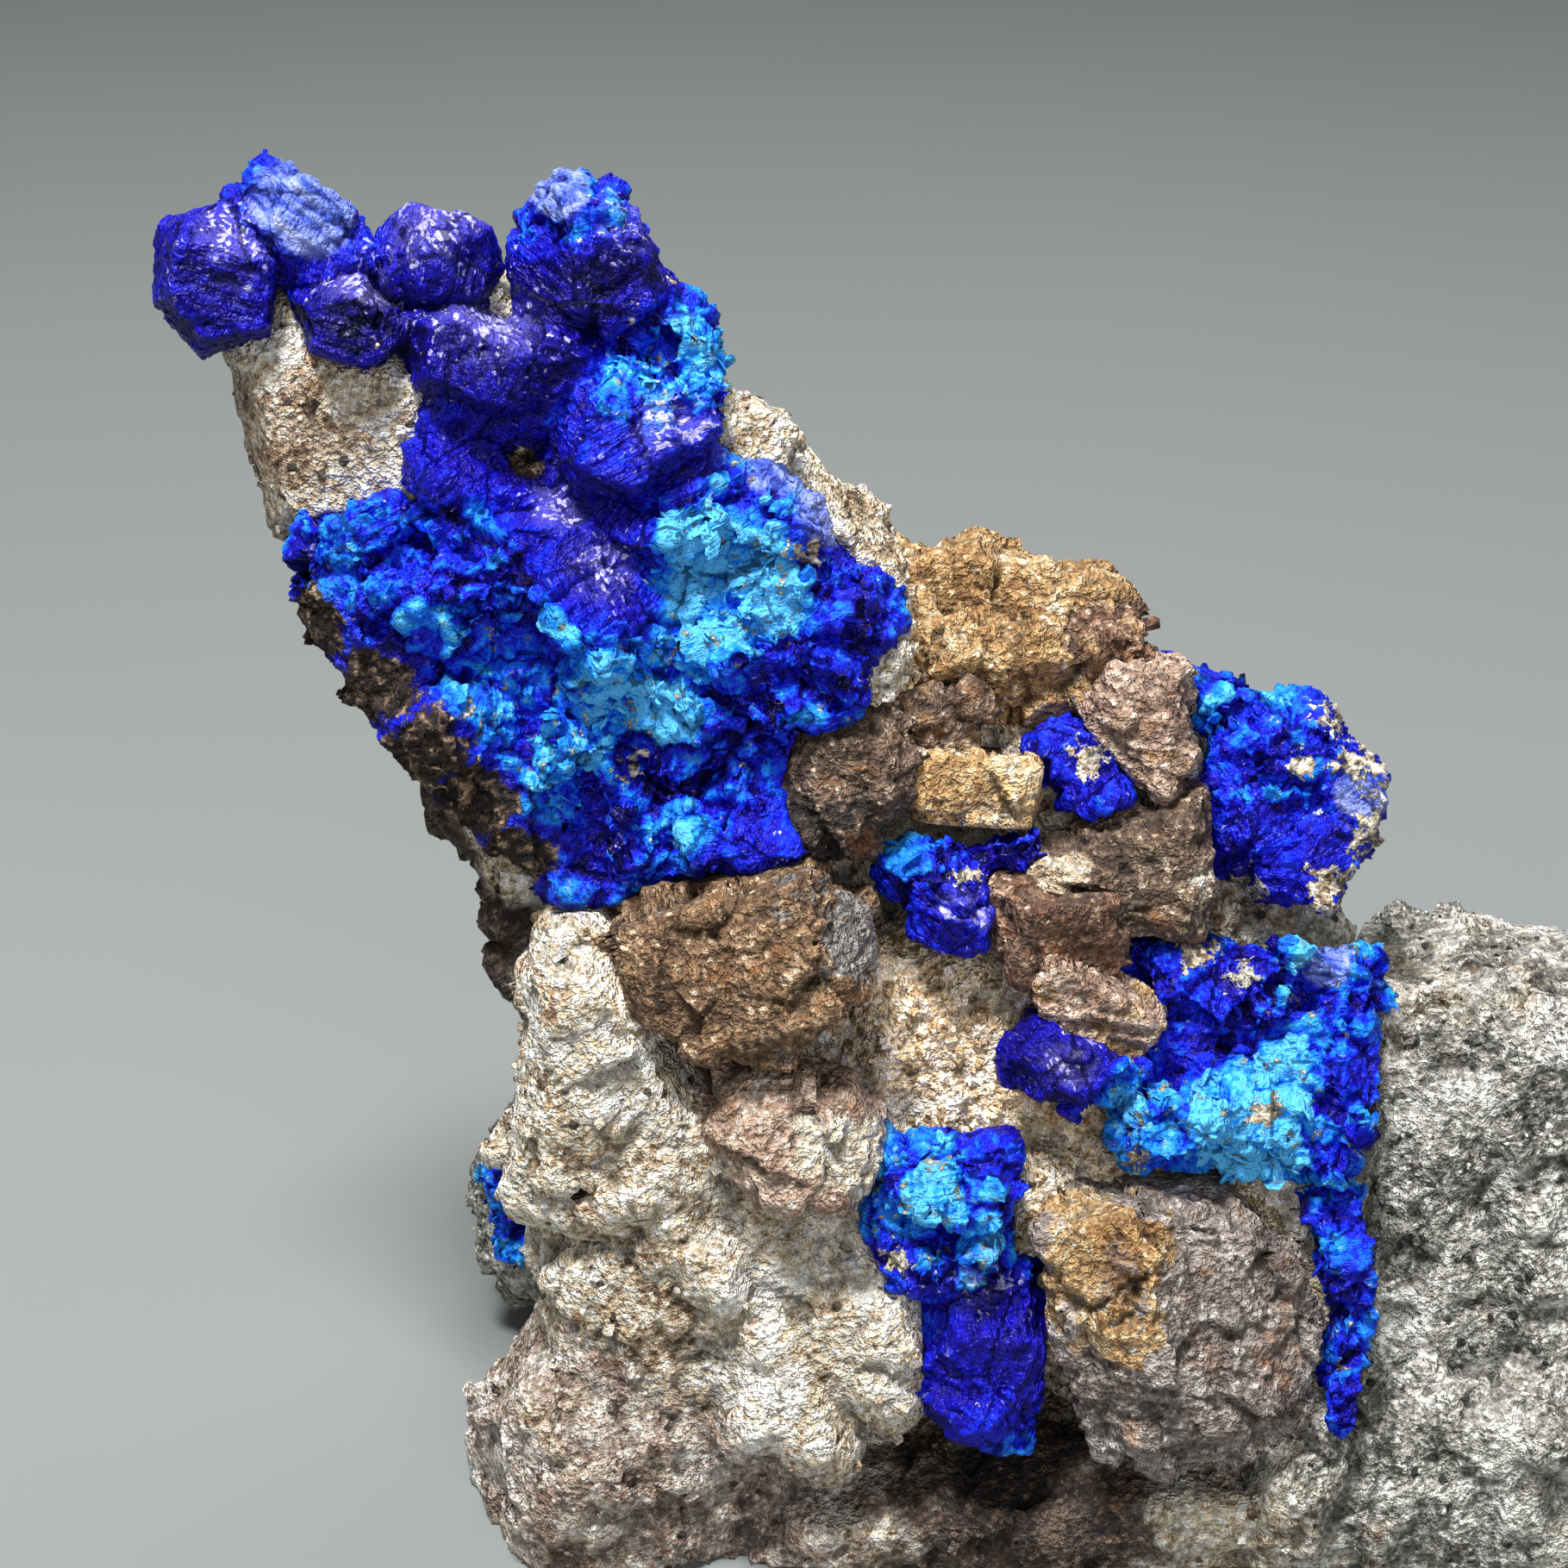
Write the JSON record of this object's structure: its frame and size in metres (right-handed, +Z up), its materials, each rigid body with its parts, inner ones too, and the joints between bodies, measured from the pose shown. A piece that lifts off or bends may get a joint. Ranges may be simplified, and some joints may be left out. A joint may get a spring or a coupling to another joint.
{
  "type": "azurite mineral specimen",
  "caption": "Small mineral specimen: deep blue azurite crystals and crusts on a leaning breccia matrix with brown rock fragments, standing on a flat base.",
  "frame": {"origin": "middle of the bounding box, on the plane of the flat base", "axes": "+X right along the length, +Y away from the crystal-covered front, +Z up from the base"},
  "size_m": [0.049, 0.02, 0.036],
  "materials": {
    "matrix": "rough",
    "clast": "rough",
    "azurite": "satin"
  },
  "bodies": {
    "root": {"matrix": "matrix", "ledge_block": "clast", "rear_block": "clast", "pointed_chip": "clast", "front_block": "clast", "wedge_chip": "clast", "pebble": "clast", "sliver": "clast", "pink_block": "clast", "dark_block": "clast", "upper_chip": "clast", "ochre_chip": "clast", "azurite_arm": "azurite", "azurite_right": "azurite", "azurite_valley": "azurite", "azurite_upper": "azurite", "azurite_slab": "azurite", "azurite_front": "azurite", "azurite_spot": "azurite"}
  },
  "joints": []
}
